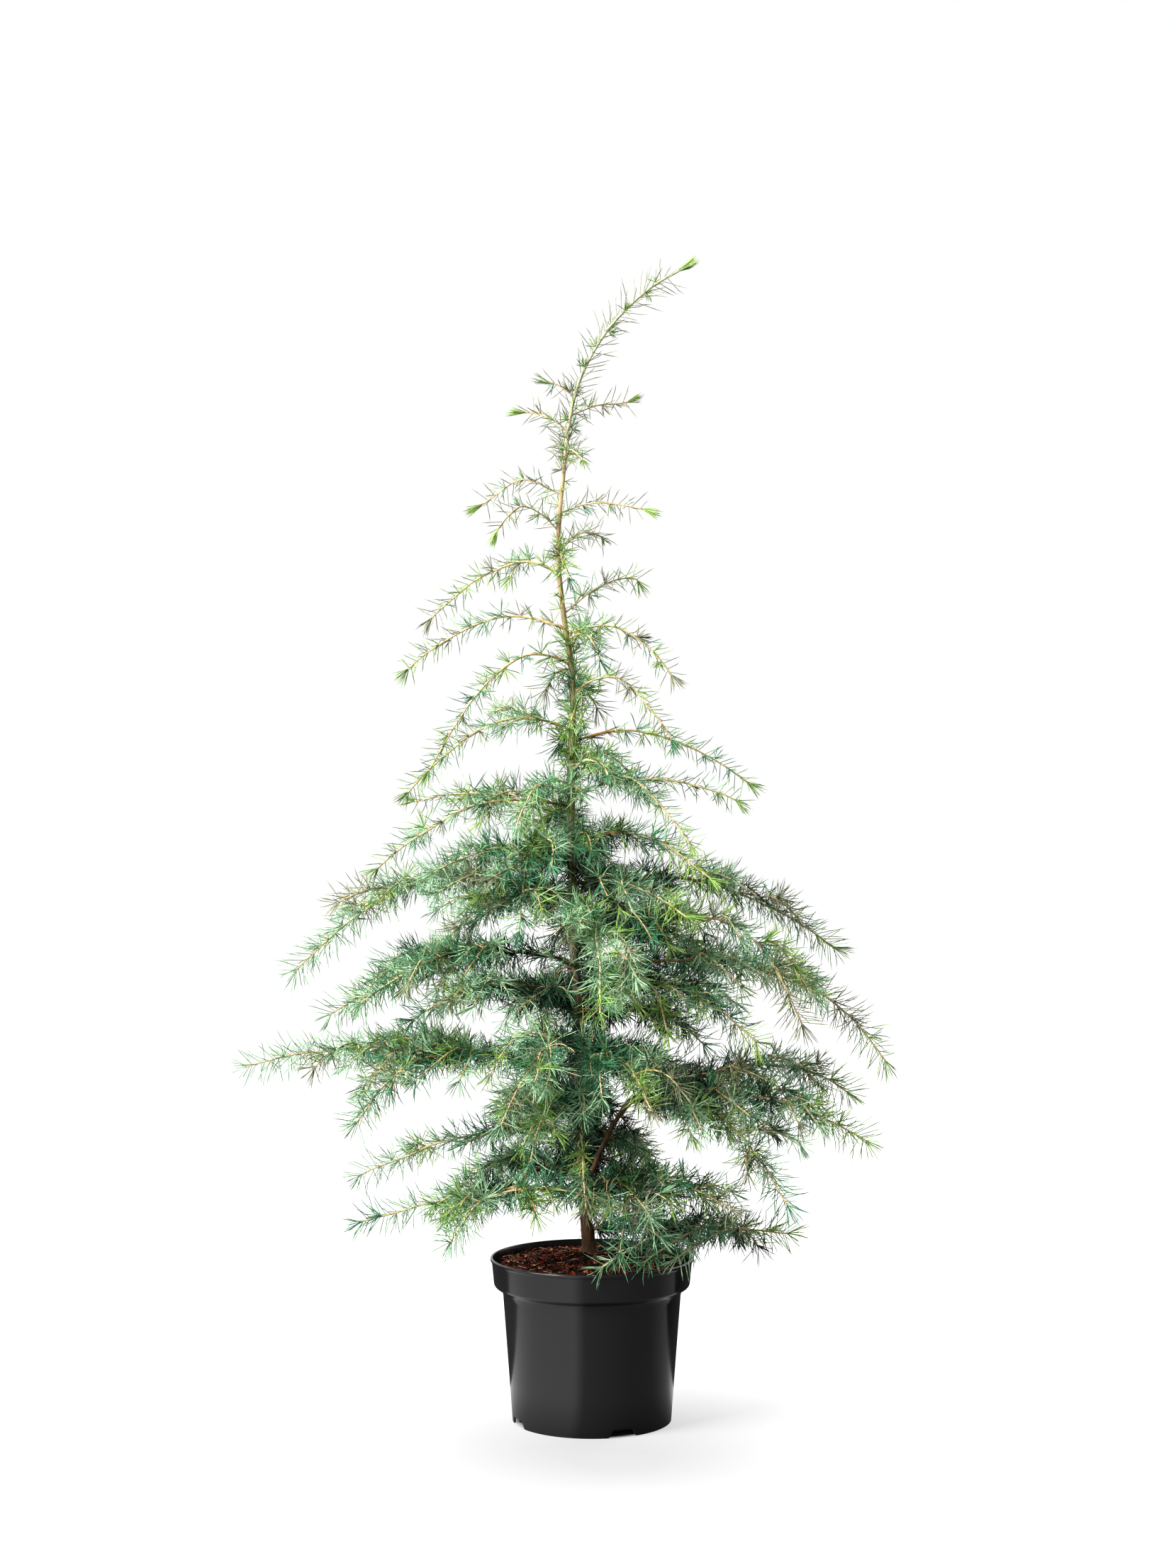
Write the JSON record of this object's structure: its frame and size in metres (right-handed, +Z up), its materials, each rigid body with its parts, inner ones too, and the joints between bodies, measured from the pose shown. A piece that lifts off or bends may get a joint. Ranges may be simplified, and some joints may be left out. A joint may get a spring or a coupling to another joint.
{
  "type": "potted deodar cedar tree",
  "caption": "Young weeping evergreen tree with a nodding tip and drooping, needle-covered boughs, growing in a round black nursery pot of compost.",
  "frame": {"origin": "centre of the pot's flat underside", "axes": "+Z up along the pot's axis, +X towards the side that the tree's tip nods to, +Y to the back of the tree as it was first seen"},
  "size_m": [0.8458, 0.6298, 1.4895],
  "materials": {
    "pot_plastic": "satin black, moulded polypropylene",
    "compost": "rough, damp, with bark chips and fibres",
    "bark": "grey-brown to olive, finely ridged bark",
    "foliage": "blue-green needles in tufts on straw-coloured to brown twigs"
  },
  "bodies": {
    "root": {"pot": "pot_plastic", "soil": "compost", "trunk": "bark", "bough_07_side_limb": "bark", "bough_10_left": "bark", "bough_16_right": "bark", "bough_18_left": "bark", "bough_20_front": "bark", "bough_23_left": "bark", "bough_24_right": "bark", "foliage_01_right": "foliage", "foliage_02_left": "foliage", "foliage_03_front_right": "foliage", "foliage_04_back_left": "foliage", "foliage_05_back": "foliage", "foliage_06_left": "foliage", "foliage_07_side_limb": "foliage", "foliage_08_front": "foliage", "foliage_09_back": "foliage", "foliage_10_left": "foliage", "foliage_11_back_right": "foliage", "foliage_12_front": "foliage", "foliage_13_back_right": "foliage", "foliage_14_back": "foliage", "foliage_15_left": "foliage", "foliage_16_right": "foliage", "foliage_17_front_right": "foliage", "foliage_18_left": "foliage", "foliage_19_back_right": "foliage", "foliage_20_front": "foliage", "foliage_21_right": "foliage", "foliage_22_back_left": "foliage", "foliage_23_left": "foliage", "foliage_24_right": "foliage", "foliage_25_front_right": "foliage", "foliage_26_back": "foliage", "foliage_27_front_left": "foliage", "foliage_28_right": "foliage", "foliage_29_back": "foliage", "foliage_30_left": "foliage", "foliage_31_front": "foliage", "foliage_32_right": "foliage", "foliage_33_front": "foliage", "foliage_34_back_right": "foliage", "foliage_35_right": "foliage", "foliage_36_left": "foliage", "foliage_37_right": "foliage", "foliage_38_back": "foliage", "foliage_39_left": "foliage", "foliage_40_back": "foliage", "foliage_41_right": "foliage", "foliage_42_left": "foliage", "foliage_43_back_right": "foliage", "foliage_44_left": "foliage", "foliage_45_front": "foliage", "foliage_46_back_right": "foliage", "foliage_47_left": "foliage", "foliage_48_right": "foliage", "foliage_49_left": "foliage", "foliage_leader": "foliage"}
  },
  "joints": []
}
